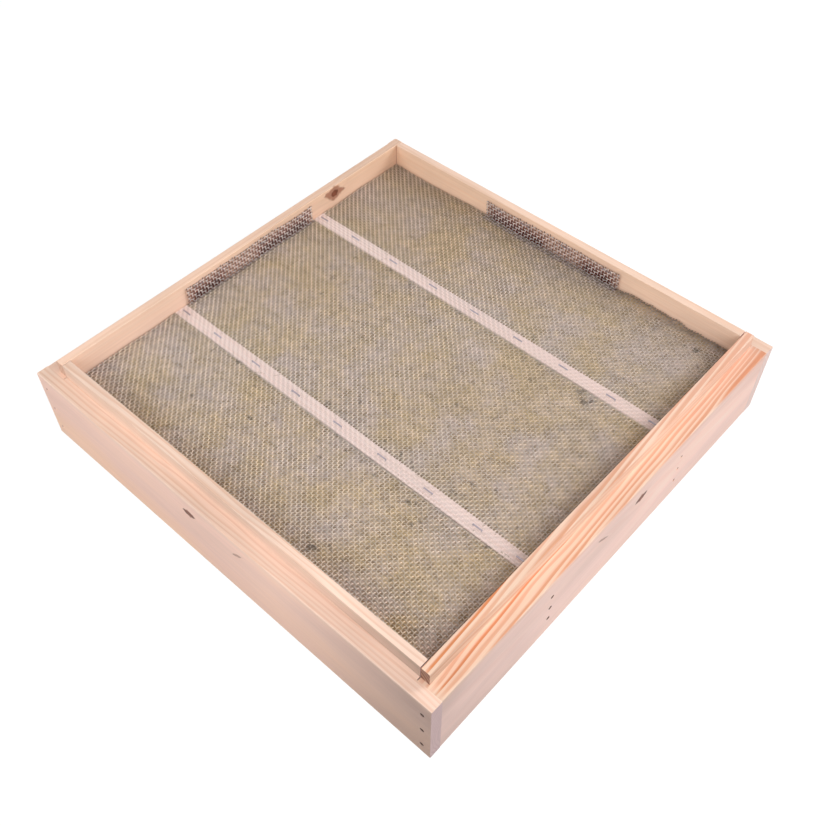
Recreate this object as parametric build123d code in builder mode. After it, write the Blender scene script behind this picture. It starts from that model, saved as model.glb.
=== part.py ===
from build123d import *
import os

os.makedirs("parts", exist_ok=True)

# A square hive cover of pine boards, lying on its roof with the side that faces the hive up.
# Millimetres. The origin is the middle of the roof's outer face, +Z points out of the open side
# and the front board faces -Y.

# Frame of four boards
cover_width = 500.0
cover_depth = 500.0
board_height = 105.0
board_thickness = 25.0
arris_radius = 1.2
lip_arris_radius = 0.6

# Stepped rim: the wall of the hive body stands on the ledge and round the lip
ledge_width = 16.0
lip_height = 16.0

# Corner joint: the front and back boards keep a tongue that covers the side boards' ends
tongue_thickness = 12.5
joint_gap = 0.8

# Roof panel, let flush into a rebate in the lower edges of the boards
roof_thickness = 6.0
roof_seat = 12.0
roof_gap = 0.5

# Joists: boards on edge from side board to side board. They lie whole and a half pitches of the
# screen off the middle, under a row of its gaps, so that the staples' legs pass between strands.
joist_thickness = 14.0
joist_pitches = 3.5

# Insulation: one slab of fibre in each bay between the joists
slab_crown = 3.0
slab_draw = 2.0
soft_gap = 0.3

# Wire screen: a coarse net with the weight of the fine woven cloth
screen_depth = 26.0
screen_gauge = 1.4
screen_strand = 2.0
screen_gaps = 16
screen_edge_gap = 0.5

# Vents through the left and back boards, placed towards the corner where these meet, and the
# strips of wire cloth that cover them
long_vent_length = 68.0
long_vent_offset = 46.0
short_vent_length = 34.0
short_vent_offset = -60.0
vent_height = 12.0
vent_cover = 2.0
strip_length = 180.0
strip_height = 20.0
strip_columns = 10
strip_rows = 2
left_strip_foot = 4.0
back_strip_foot = 10.0

# Nails: faceted heads sunk a little below the wood, square shanks
nail_head_radius = 1.7
nail_head_sides = 8
nail_head_height = 1.0
nail_shank = 1.6
nail_point = 3.0
nail_tip = 0.4
nail_sink = 0.8
nail_room = 0.1
wall_nail_length = 45.0
nails_per_joint = 3
corner_nail_inset = 9.0
corner_nail_low = 15.0
corner_nail_high = 17.0
joist_nail_margin = 18.0
roof_nail_length = 25.0
roof_nails_per_side = 4
roof_nails_per_joist = 3
roof_nail_margin = 35.0
roof_joist_nail_margin = 75.0

# Staples: a flat crown over the wire and two legs in the wood
staple_crown = 10.6
staple_wire = 0.9
staple_leg = 8.0
staple_room = 0.05
staple_strand_step = 2
staple_end_inset = 10.0
strip_staple_drop = 5.0
strip_staple_strands = (-4, -2, 1, 4)

# Places that several pieces share
half_width = cover_width / 2
half_depth = cover_depth / 2
inner_x = half_width - board_thickness
inner_y = half_depth - board_thickness
ledge_level = board_height - lip_height
screen_level = board_height - screen_depth
cloth_level = screen_level + screen_gauge
vent_level = ledge_level - vent_cover - vent_height / 2
screen_width = 2 * (inner_x - screen_edge_gap)
screen_length = 2 * (inner_y - screen_edge_gap)
screen_pitch_x = (screen_width - screen_strand) / screen_gaps
screen_pitch_y = (screen_length - screen_strand) / screen_gaps
joist_offset = joist_pitches * screen_pitch_y
strip_pitch = (strip_length - screen_strand) / strip_columns
roof_width = 2 * (inner_x + roof_seat)
roof_length = 2 * (inner_y + roof_seat)

# Outer faces, each seen from outside: x to the right, y up, z outwards
front_face = Plane(origin=(0, -half_depth, 0), x_dir=(1, 0, 0), z_dir=(0, -1, 0))
back_face = Plane(origin=(0, half_depth, 0), x_dir=(-1, 0, 0), z_dir=(0, 1, 0))
left_face = Plane(origin=(-half_width, 0, 0), x_dir=(0, -1, 0), z_dir=(-1, 0, 0))
right_face = Plane(origin=(half_width, 0, 0), x_dir=(0, 1, 0), z_dir=(1, 0, 0))
roof_face = Plane(origin=(0, 0, 0), x_dir=(1, 0, 0), z_dir=(0, 0, -1))


def inner_face(face, depth):
    """The plane at a depth behind an outer face, seen from inside the cover."""
    return Plane(face.offset(-depth).origin, x_dir=-face.x_dir, z_dir=-face.z_dir)


def spread(count, low, high):
    """Evenly spaced places from low to high."""
    return [low + (high - low) * number / (count - 1) for number in range(count)]


# Seats of the nails: a location on the wood's face, z outwards
corner_nail_heights = spread(nails_per_joint, corner_nail_low, ledge_level - corner_nail_high)
corner_nail_line = half_width - corner_nail_inset
corner_nail_seats = [
    face.location * Pos(side * corner_nail_line, height)
    for face in (front_face, back_face)
    for side in (-1, 1)
    for height in corner_nail_heights
]

joist_nail_heights = spread(
    nails_per_joint, roof_thickness + joist_nail_margin, screen_level - joist_nail_margin
)
joist_nail_seats = [
    face.location * Pos(side * joist_offset, height)
    for face in (left_face, right_face)
    for side in (-1, 1)
    for height in joist_nail_heights
]

roof_nail_reach_x = inner_x - roof_nail_margin
roof_nail_reach_y = inner_y - roof_nail_margin
roof_joist_reach = inner_x - roof_joist_nail_margin
roof_nail_seats = []
for side in (-1, 1):
    for along in spread(roof_nails_per_side, -roof_nail_reach_x, roof_nail_reach_x):
        roof_nail_seats.append(roof_face.location * Pos(along, side * (inner_y + roof_seat / 2)))
    for along in spread(roof_nails_per_side, -roof_nail_reach_y, roof_nail_reach_y):
        roof_nail_seats.append(roof_face.location * Pos(side * (inner_x + roof_seat / 2), along))
    for along in spread(roof_nails_per_joist, -roof_joist_reach, roof_joist_reach):
        roof_nail_seats.append(roof_face.location * Pos(along, side * joist_offset))

# Seats of the staples: a location on the wire cloth, crown along x. Each staple bridges a strand,
# but for the last one at each joist end, which pins the cut edge of the screen.
last_staple = inner_x - staple_end_inset
staple_step = staple_strand_step * screen_pitch_x
staple_reach = int((last_staple - staple_crown) / staple_step)
staple_row = [number * staple_step for number in range(-staple_reach, staple_reach + 1)]
staple_row += [-last_staple, last_staple]


def joist_staple_seats(side):
    """Places on the screen above the front (-1) or back (1) joist."""
    return [Location((along, side * joist_offset, cloth_level)) for along in staple_row]


def strip_staple_seats(face):
    """Places near the top edge of a vent strip."""
    cloth = inner_face(face, board_thickness + screen_gauge).location
    height = cloth_level + strip_height - strip_staple_drop
    return [cloth * Pos(strand * strip_pitch, height) for strand in strip_staple_strands]


def nail_form(length, head_top, room):
    """A nail down -Z from a wood face. With room round it, the bore that it leaves in the wood."""
    head_foot = -nail_sink - nail_head_height - room
    tip = -nail_sink - length - room
    shoulder = tip + nail_point
    shank = nail_shank + 2 * room
    with BuildPart() as nail:
        with BuildSketch(Plane.XY.offset(head_top)):
            RegularPolygon(nail_head_radius + room, nail_head_sides)
        extrude(amount=head_foot - head_top)
        with BuildSketch(Plane.XY.offset(head_foot)):
            Rectangle(shank, shank)
        extrude(amount=shoulder - head_foot)
        with BuildSketch(Plane.XY.offset(shoulder)):
            Rectangle(shank, shank)
        with BuildSketch(Plane.XY.offset(tip)):
            Rectangle(nail_tip + 2 * room, nail_tip + 2 * room)
        loft()
    return nail.part


def staple_form(room):
    """A staple that sits on z 0, legs down. With room round it, the slots of its legs."""
    outer = staple_crown / 2 + room
    inner = staple_crown / 2 - staple_wire - room
    with BuildPart() as staple:
        with BuildSketch(Plane.XZ):
            with BuildLine():
                Polyline(
                    (-outer, staple_wire),
                    (outer, staple_wire),
                    (outer, -staple_leg - room),
                    (inner, -staple_leg - room),
                    (inner, 0),
                    (-inner, 0),
                    (-inner, -staple_leg - room),
                    (-outer, -staple_leg - room),
                    close=True,
                )
            make_face()
        extrude(amount=staple_wire / 2 + room, both=True)
    return staple.part


wall_nail = nail_form(wall_nail_length, -nail_sink, 0)
roof_nail = nail_form(roof_nail_length, -nail_sink, 0)
staple = staple_form(0)

# Bores of all the fasteners, taken out of every piece of wood that they enter
with BuildPart() as bores:
    with Locations(*corner_nail_seats, *joist_nail_seats):
        add(nail_form(wall_nail_length, 0, nail_room))
    with Locations(*roof_nail_seats):
        add(nail_form(roof_nail_length, 0, nail_room))
    with Locations(
        *joist_staple_seats(-1),
        *joist_staple_seats(1),
        *strip_staple_seats(left_face),
        *strip_staple_seats(back_face),
    ):
        add(staple_form(staple_room))

# Rim rebate, cut round the outside of the frame to leave the ledge and the lip
with BuildSketch(Plane.XY.offset(ledge_level)) as rim_rebate:
    Rectangle(cover_width, cover_depth)
    Rectangle(cover_width - 2 * ledge_width, cover_depth - 2 * ledge_width, mode=Mode.SUBTRACT)

# Roof rebate, cut round the inside of the frame to seat the panel
with BuildSketch(Plane.XY) as roof_rebate:
    Rectangle(roof_width, roof_length)


def frame_board(face, length, tongued, vent_side=0):
    """A board of the frame, drawn on its outer face, with its vents counted along x (1) or -x (-1)."""
    along = Axis(face.origin, face.x_dir)
    outwards = Axis(face.origin, face.z_dir)
    with BuildPart() as board:
        with BuildSketch(face):
            Rectangle(length, board_height, align=(Align.CENTER, Align.MIN))
        extrude(amount=-board_thickness)
        if tongued:
            housing = board_thickness + joint_gap
            with BuildSketch(face.offset(-tongue_thickness)):
                with GridLocations(length - housing, 0, 2, 1):
                    Rectangle(housing, board_height, align=(Align.CENTER, Align.MIN))
            extrude(amount=tongue_thickness - board_thickness, mode=Mode.SUBTRACT)
        extrude(rim_rebate.sketch, amount=lip_height, mode=Mode.SUBTRACT)
        extrude(roof_rebate.sketch, amount=roof_thickness, mode=Mode.SUBTRACT)
        outer_edges = board.faces().sort_by(outwards)[-1].edges().filter_by(along)
        fillet(outer_edges, radius=arris_radius)
        fillet(board.edges().filter_by(along).group_by(Axis.Z)[-1], radius=lip_arris_radius)
        if vent_side:
            with BuildSketch(face):
                with Locations((vent_side * long_vent_offset, vent_level)):
                    SlotOverall(long_vent_length, vent_height)
                with Locations((vent_side * short_vent_offset, vent_level)):
                    SlotOverall(short_vent_length, vent_height)
            extrude(amount=-board_thickness, mode=Mode.SUBTRACT)
        add(bores.part, mode=Mode.SUBTRACT)
    return board


housed_length = cover_depth - 2 * tongue_thickness
front_board = frame_board(front_face, cover_width, tongued=True)
back_board = frame_board(back_face, cover_width, tongued=True, vent_side=1)
left_board = frame_board(left_face, housed_length, tongued=False, vent_side=-1)
right_board = frame_board(right_face, housed_length, tongued=False)

# Roof panel
with BuildPart() as roof_panel:
    with BuildSketch():
        Rectangle(roof_width - 2 * roof_gap, roof_length - 2 * roof_gap)
    extrude(amount=roof_thickness)
    add(bores.part, mode=Mode.SUBTRACT)


def joist(side):
    """The front (-1) or back (1) joist, standing on the roof panel."""
    with BuildPart() as board:
        with BuildSketch(Plane.XY.offset(roof_thickness)):
            with Locations((0, side * joist_offset)):
                Rectangle(2 * inner_x, joist_thickness)
        extrude(amount=screen_level - roof_thickness)
        add(bores.part, mode=Mode.SUBTRACT)
    return board


front_joist = joist(-1)
back_joist = joist(1)


def insulation_slab(low, high):
    """Fibre that fills a bay from y low to high: sides drawn in between the corners, top crowned."""
    reach = inner_x - soft_gap
    near = low + soft_gap
    far = high - soft_gap
    middle = (near + far) / 2
    foot = roof_thickness + soft_gap
    top = screen_level - soft_gap
    shoulder = top - slab_crown
    with BuildPart() as slab:
        with BuildSketch(Plane.XY.offset(foot)):
            with BuildLine():
                ThreePointArc((-reach, near), (0, near + slab_draw), (reach, near))
                ThreePointArc((reach, near), (reach - slab_draw, middle), (reach, far))
                ThreePointArc((reach, far), (0, far - slab_draw), (-reach, far))
                ThreePointArc((-reach, far), (slab_draw - reach, middle), (-reach, near))
            make_face()
        extrude(amount=top - foot)
        with BuildSketch(Plane.YZ):
            with BuildLine():
                Polyline((near, shoulder), (near, foot), (far, foot), (far, shoulder))
                ThreePointArc((far, shoulder), (middle, top), (near, shoulder))
            make_face()
        extrude(amount=reach, both=True, mode=Mode.INTERSECT)
    return slab


joist_side = joist_offset + joist_thickness / 2
bay_side = joist_offset - joist_thickness / 2
front_insulation = insulation_slab(-inner_y, -joist_side)
middle_insulation = insulation_slab(-bay_side, bay_side)
back_insulation = insulation_slab(joist_side, inner_y)

# Wire screen over the joists and the insulation
with BuildPart() as wire_screen:
    with BuildSketch(Plane.XY.offset(screen_level)):
        Rectangle(screen_width, screen_length)
        with GridLocations(screen_pitch_x, screen_pitch_y, screen_gaps, screen_gaps):
            Rectangle(
                screen_pitch_x - screen_strand, screen_pitch_y - screen_strand, mode=Mode.SUBTRACT
            )
    extrude(amount=screen_gauge)


def vent_strip(face, foot):
    """Wire cloth over the vents of a wall: an upright net, bent to a foot of cut wire ends."""
    wall = inner_face(face, board_thickness)
    floor = Plane(wall.origin, x_dir=wall.x_dir, z_dir=(0, 0, 1)).offset(cloth_level)
    row_pitch = (strip_height - screen_strand) / strip_rows
    gap_length = strip_pitch - screen_strand
    with BuildPart() as strip:
        with BuildSketch(wall):
            with Locations((0, cloth_level + strip_height / 2)):
                Rectangle(strip_length, strip_height)
                with GridLocations(strip_pitch, row_pitch, strip_columns, strip_rows):
                    Rectangle(gap_length, row_pitch - screen_strand, mode=Mode.SUBTRACT)
        extrude(amount=screen_gauge)
        with BuildSketch(floor):
            Rectangle(strip_length, foot, align=(Align.CENTER, Align.MAX))
            with Locations((0, -screen_strand)):
                with GridLocations(strip_pitch, 0, strip_columns, 1):
                    Rectangle(
                        gap_length, foot, align=(Align.CENTER, Align.MAX), mode=Mode.SUBTRACT
                    )
        extrude(amount=screen_gauge)
    return strip


left_vent_strip = vent_strip(left_face, left_strip_foot)
back_vent_strip = vent_strip(back_face, back_strip_foot)


def fasteners(form, seats):
    """Separate copies of a nail or a staple, one on each seat."""
    with BuildPart() as group:
        with Locations(*seats):
            add(form)
    return group


pieces = {
    "front_board": front_board,
    "back_board": back_board,
    "left_board": left_board,
    "right_board": right_board,
    "roof_panel": roof_panel,
    "front_joist": front_joist,
    "back_joist": back_joist,
    "front_insulation": front_insulation,
    "middle_insulation": middle_insulation,
    "back_insulation": back_insulation,
    "wire_screen": wire_screen,
    "left_vent_strip": left_vent_strip,
    "back_vent_strip": back_vent_strip,
    "corner_nails": fasteners(wall_nail, corner_nail_seats),
    "joist_nails": fasteners(wall_nail, joist_nail_seats),
    "roof_nails": fasteners(roof_nail, roof_nail_seats),
    "front_joist_staples": fasteners(staple, joist_staple_seats(-1)),
    "back_joist_staples": fasteners(staple, joist_staple_seats(1)),
    "left_strip_staples": fasteners(staple, strip_staple_seats(left_face)),
    "back_strip_staples": fasteners(staple, strip_staple_seats(back_face)),
}
for name, piece in pieces.items():
    piece.part.label = name
    export_step(piece.part, f"parts/{name}.step")
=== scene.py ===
"""Looks of a square pine hive cover that lies on its roof with the hive side up.

The packed model is the fixed frame, in metres: X runs from the left board to the right one, Y from
the front board to the back one and Z out of the open hive side.
"""

import math
from typing import NamedTuple

import bpy
from mathutils import Matrix, Vector


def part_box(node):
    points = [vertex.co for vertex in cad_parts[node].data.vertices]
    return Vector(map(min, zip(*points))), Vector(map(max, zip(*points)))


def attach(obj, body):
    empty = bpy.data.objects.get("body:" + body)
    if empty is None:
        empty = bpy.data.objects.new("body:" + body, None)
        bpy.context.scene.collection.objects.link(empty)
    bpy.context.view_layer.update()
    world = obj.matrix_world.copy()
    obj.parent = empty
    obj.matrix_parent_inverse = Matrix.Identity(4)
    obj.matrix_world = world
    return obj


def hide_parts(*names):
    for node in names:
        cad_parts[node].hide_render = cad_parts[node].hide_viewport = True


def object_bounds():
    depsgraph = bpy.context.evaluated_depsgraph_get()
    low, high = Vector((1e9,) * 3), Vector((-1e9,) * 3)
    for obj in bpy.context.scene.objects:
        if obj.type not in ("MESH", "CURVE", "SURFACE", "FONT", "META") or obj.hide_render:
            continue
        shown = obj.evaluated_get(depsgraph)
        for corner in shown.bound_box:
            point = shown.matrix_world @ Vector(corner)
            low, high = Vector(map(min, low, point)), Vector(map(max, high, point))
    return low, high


bl_info = {
    "name": "Hive Cover",
    "version": (1, 0, 0),
    "blender": (4, 5, 0),
    "location": "View3D > Sidebar > Hive Cover",
    "description": "Dresses the packed hive cover in timber, wool and woven wire",
    "category": "Object",
}

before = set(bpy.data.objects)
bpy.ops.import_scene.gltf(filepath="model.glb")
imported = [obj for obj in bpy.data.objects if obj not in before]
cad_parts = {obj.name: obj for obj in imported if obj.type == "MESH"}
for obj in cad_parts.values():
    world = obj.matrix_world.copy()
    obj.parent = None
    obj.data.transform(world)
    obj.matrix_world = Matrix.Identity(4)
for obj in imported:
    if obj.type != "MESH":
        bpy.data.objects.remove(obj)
cad_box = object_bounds()

MM = 0.001
BODY = "root"
PHOTO_WIDTH = 826
SENSOR_WIDTH = 36.0

# Kinds of node that many trees use; what stands after a colon is the node's operation
MATH = "ShaderNodeMath"
TIMES = "ShaderNodeMath:MULTIPLY"
TIMES_PLUS = "ShaderNodeMath:MULTIPLY_ADD"
DIVIDED = "ShaderNodeMath:DIVIDE"
PLUS = "ShaderNodeMath:ADD"
MINUS = "ShaderNodeMath:SUBTRACT"
ABSOLUTE = "ShaderNodeMath:ABSOLUTE"
LARGER = "ShaderNodeMath:MAXIMUM"
VECTOR = "ShaderNodeVectorMath"
VECTOR_TIMES = "ShaderNodeVectorMath:MULTIPLY"
VECTOR_PLUS = "ShaderNodeVectorMath:ADD"
VECTOR_MINUS = "ShaderNodeVectorMath:SUBTRACT"
NOISE = "ShaderNodeTexNoise"
RANGE = "ShaderNodeMapRange"
MIX = "ShaderNodeMix"
SPLIT = "ShaderNodeSeparateXYZ"
COMBINE = "ShaderNodeCombineXYZ"
# Settings that many nodes share: a mix of colours, one that multiplies them and a soft ramp
COLOUR = {"out": 2, "data_type": "RGBA"}
TINT = {**COLOUR, "blend_type": "MULTIPLY"}
SOFT = {"interpolation_type": "SMOOTHSTEP"}

# Attribute of a vent strip's wire for its painted highlight and shade: over 0 on its crowns and their
# bright slopes, under 0 where it dips
CROWN = "crown"
# Attribute of the screen's wire: 1 on a crown's slope towards the front or the right, -1 on the other
SLOPE = "slope"

# Places that the packed model gives
joist_low, joist_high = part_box("back_joist")
JOIST_LINE = (joist_low.y + joist_high.y) / 2
JOIST_TOP = joist_high.z
INNER_FACE = joist_high.x

# Heights on the boards
LEDGE_LEVEL = 89 * MM
VENT_FLOOR = 74 * MM
VENT_ROOF = LEDGE_LEVEL - 1.5 * MM
# How far down from the ledge's edge a painted highlight reaches, where a side board's near end is
# pale from wear, and how far rust goes
LIT_ARRIS = 8 * MM
WORN_END = (-238 * MM, -228 * MM)
RUST_REACH = (1.8 * MM, 2.5 * MM)
# From a joist's line: where the cloth stops showing the joist's blush, a painted reflection, and being
# pressed flat on it
BLUSHED = (6.5 * MM, 9 * MM)
PRESSED = (7 * MM, 11 * MM)
# Shares of a wire's diameter: how far it bends over and under, and how high the screen's middle lies
SCREEN_CRIMP = 0.9
STRIP_CRIMP = 0.95
SCREEN_RISE = 0.95
# The floor: its half width, how far it lies under the cover, and its share and strength of glow
FLOOR_REACH = 6.0
FLOOR_DROP = 0.3 * MM
GLOW_SHARE, GLOW_STRENGTH = 0.7, 1.35
# Colours of wear, and what the far corner and the walls' shade take of the wire's and the wool's colour
RUST = "#3E2A25"
DIRT = "#4E4238"
CUT_EDGE = "#6A564C"
NAIL_DUST = "#F6DCD0"
WIRE_CORNER = (0.88, 0.81, 0.73, 1)
WOOL_CORNER = (0.8, 0.72, 0.62, 1)
WOOL_EDGE = (0.96, 0.8, 0.62, 1)


def linear(code):
    """An sRGB hex colour as linear red, green, blue and alpha."""
    shares = [int(code[start : start + 2], 16) / 255 for start in (1, 3, 5)]
    return *(s / 12.92 if s <= 0.04045 else ((s + 0.055) / 1.055) ** 2.4 for s in shares), 1.0


def put(tree, kind, inputs=(), out=0, stops=(), **settings):
    """Adds a node with its settings, its inputs' values or links and a ramp's stops.

    Inputs are a list in the node's own order or a dictionary by name or number. Gives the output that
    out names, or the node itself where out is None.
    """
    kind, _, operation = kind.partition(":")
    node = tree.nodes.new(kind)
    if operation:
        node.operation = operation
    for name, value in settings.items():
        setattr(node, name, value)
    for key, value in inputs.items() if isinstance(inputs, dict) else enumerate(inputs):
        if isinstance(value, bpy.types.NodeSocket):
            tree.links.new(value, node.inputs[key])
        else:
            node.inputs[key].default_value = value
    for number, (place, colour) in enumerate(stops):
        ramp = node.color_ramp.elements
        stop = ramp[number] if number < len(ramp) else ramp.new(place)
        stop.position = place
        stop.color = colour
    return node if out is None else node.outputs[out]


def chain(tree, kind, value, *others):
    """Joins values in a row by the same kind of node, such as a product or a sum."""
    for other in others:
        value = put(tree, kind, [value, other])
    return value


def length_property(name, description, millimetres):
    """A length that a user may change."""
    return bpy.props.FloatProperty(
        name=name, description=description, default=millimetres * MM, unit="LENGTH", precision=4
    )


def colour_property(name, description, code):
    """A colour that a user may change, from its sRGB hex value."""
    return bpy.props.FloatVectorProperty(
        name=name, description=description, default=linear(code), size=4, min=0, max=1,
        subtype="COLOR",
    )


def power_property(name, description, watts):
    """A lamp's power that a user may change."""
    return bpy.props.FloatProperty(
        name=name, description=description, default=watts, min=0, subtype="POWER"
    )


class PineLook(bpy.types.PropertyGroup):
    """Planed pine boards, left bare"""

    blush: colour_property("Blush", "Pinkish heart colour in broad patches", "#EFCABB")
    tan: colour_property("Tan", "Yellower clouds of the weathered faces", "#F0C6AA")
    # The Scorch and Stain colours are painted shade: in the routed vents and on the wall behind the
    # vent strips
    vent_shade: colour_property("Scorch", "Walls of the routed vents", "#7C3826")
    strip_shade: colour_property("Stain", "Wood gone brown round the vents", "#A65F45")
    knot_rim: colour_property("Knot rim", "Resin-dark wood round a knot", "#A06A54")
    fibre: length_property("Fibre", "Width of the fine streaks along the grain", 0.9)
    wander: length_property("Wander", "How far the rings leave a true circle", 3.2)
    ripple: length_property("Ripple", "Shorter waves of the rings along the board", 2.6)
    side_figure: bpy.props.FloatProperty(
        name="Side figure", description="Share of the ring contrast that upright faces show",
        default=0.42, min=0, max=1, subtype="FACTOR",
    )


class WireLook(bpy.types.PropertyGroup):
    """Woven wire cloth"""

    zinc: colour_property("Zinc", "Coated wire of the screen", "#F2E6E5")
    dust: colour_property("Dust", "Wool dust on the screen's wire", "#F1DCBC")
    cross_zinc: colour_property("Cross zinc", "Coated wire that runs across the screen", "#D7CDCC")
    cross_dust: colour_property("Cross dust", "Wool dust on the wire across", "#D6C4A8")
    # The screen wire's blush over the joists is a painted reflection of the wood
    blush: colour_property("Blush", "Screen's wire where it lies on the joists", "#F8E6E0")
    dull: colour_property("Dulled zinc", "Wire of the vent strips", "#FBECE5")
    # Slate is painted shade on a vent strip's wire
    slate: colour_property("Slate", "A vent strip's wire where it dips under", "#785E5B")
    # Wire and crimp are drawn heavier than in real cloth of this pitch, so that the weave shows
    pitch: length_property("Pitch", "Distance between two wires of the screen", 3.2)
    diameter: length_property("Wire", "Diameter of the screen's wire", 1.1)
    strip_pitch: length_property("Strip pitch", "Distance between two wires of a vent strip", 4.0)
    strip_diameter: length_property("Strip wire", "Diameter of a vent strip's wire", 0.92)
    bend_radius: length_property("Bend radius", "Bend at a vent strip's foot", 1.6)
    lean: length_property("Lean", "How far a vent strip's top stands off the wall", 2.2)
    strip_rise: length_property("Strip rise", "Height of a vent strip's bend over the joists", 2.5)
    wave_height: length_property("Wave height", "How far the loose cloth rises and sinks", 1.6)
    wave_length: length_property("Wave length", "Size of the loose cloth's waves", 95)
    sag: length_property("Sag", "How far the cloth sinks between the joists", 0.6)
    drift: length_property("Drift", "How far the wires leave straight lines", 1.0)
    crossings: bpy.props.IntProperty(
        name="Crossings", description="Wires across the screen, each way", default=140, min=2
    )


class WoolLook(bpy.types.PropertyGroup):
    """Loose wool fibre in the bays"""

    olive: colour_property("Olive", "Yellowish fibre", "#CBB38D")
    mauve: colour_property("Mauve", "Greyish fibre", "#C7B4A8")
    umber: colour_property("Umber", "Brown fibre in the hollows", "#8A7253")
    step: length_property("Step", "Spacing of the mesh over the wool", 3.0)
    lift: length_property("Lift", "How far the wool swells up into the wire cloth", 1.2)
    tuft_depth: length_property("Tuft depth", "Depth of the hollows between tufts", 0.6)
    tuft_width: length_property("Tuft width", "Size of a tuft", 18)
    draw: length_property("Draw", "How far the sides of the wool are drawn in", 2.0)
    edge_drop: length_property("Edge drop", "How far the wool sinks along its edges", 0.7)
    edge_width: length_property("Edge width", "Width of the sunken edges", 14)
    # Thicker than real wool, so that single fibres show
    fibre: length_property("Fibre", "Thickness of a loose fibre", 0.28)
    fibre_length: length_property("Fibre length", "Length of a loose fibre", 14)
    fibre_density: bpy.props.FloatProperty(
        name="Fibre density", description="Loose fibres on a square metre", default=26000, min=0
    )


class StageLook(bpy.types.PropertyGroup):
    """Camera, lights and floor"""

    azimuth: bpy.props.FloatProperty(
        name="Azimuth", description="Turn of the camera from the front", subtype="ANGLE",
        default=math.radians(42.194115),
    )
    elevation: bpy.props.FloatProperty(
        name="Elevation", description="Height of the camera over the horizon", subtype="ANGLE",
        default=math.radians(50.640326),
    )
    distance: length_property("Distance", "From the camera to the cover's base", 1036.6644)
    aim_right: length_property("Aim right", "Shift of the view to the right", 3.7104)
    aim_up: length_property("Aim up", "Shift of the view upwards", 5.2253)
    focal_pixels: bpy.props.FloatProperty(
        name="Focal length", description="Focal length in pixels of the photograph",
        default=1008.9619, min=1,
    )
    paper: colour_property("Paper", "White sweep that the cover lies on", "#A8A6A4")
    sky: bpy.props.FloatProperty(
        name="Sky", description="Strength of the light from all round", default=0.3, min=0
    )
    left: power_property("Left", "Power of the soft light close by at the left", 4.4)
    right: power_property("Right", "Power of the soft light high up at the right", 6.8)
    back: power_property("Back", "Power of the soft light behind at the right", 22.0)
    front: power_property("Front", "Power of the soft light beside the camera", 9.5)
    side: power_property("Side", "Power of the soft light low down at the right", 0.3)


class HiveCover(bpy.types.PropertyGroup):
    """Sizes and colours of the hive cover"""

    pine: bpy.props.PointerProperty(type=PineLook)
    wire: bpy.props.PointerProperty(type=WireLook)
    wool: bpy.props.PointerProperty(type=WoolLook)
    stage: bpy.props.PointerProperty(type=StageLook)


class Knot(NamedTuple):
    """A branch's root in a board: middle and half sizes in millimetres, turn in degrees.

    Depth is how dark it is, halo how far its leaf of resin-dark wood runs along the board, in half
    sizes, and core the share of it that is darkest.
    """

    middle: tuple
    reach: tuple
    depth: float = 1.0
    tilt: tuple = (0, 0, 0)
    halo: float = 1.3
    core: float = 1.0


class Timber(NamedTuple):
    """How one board was sawn.

    Pith is the tree's middle, across the board and up, in millimetres. Cant is how far the rings
    drift across for each millimetre along and widen how much more of a ring is dark towards the far
    end. Outward is the face below the ledge that takes a pinker tint, a painted tint that stands for
    the different light on upright faces, with tan for the share of its yellow clouds. A further
    triple gives where along the board painted shade starts to darken the outer face towards the near
    corner, where that ends and how much, and riser how much darker painted shade makes the lip's
    outer side. Vents are the routed slots: their middles along the board and half lengths. Nails are
    the places of those that have rusted.
    """

    node: str
    turned: bool
    pith: tuple
    ring: float
    cant: float
    early: str
    late: str
    figure: float
    ends: tuple
    outward: tuple = (0, 0, 0)
    tinted: str = "#F3D3C9"
    knots: tuple = ()
    widen: float = 0.0
    tan: float = 0.7
    corner_shade: tuple = ()
    vents: tuple = ()
    riser: float = 0.0
    nails: tuple = ()


# Where dirt has gathered in the screen, across and up the plan, and how wide, in millimetres
DIRTY_SPOTS = ((66, -208, 60), (112, -121, 30), (148, 80, 30), (184, 203, 22))
SMOOTH_ENDS = ("#C6ABAA", "#BBA0A0")
PALE_ENDS = ("#F0D6CF", "#E8CAC2")
TAN_ENDS = ("#DDB8A2", "#CBA28C")
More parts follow.
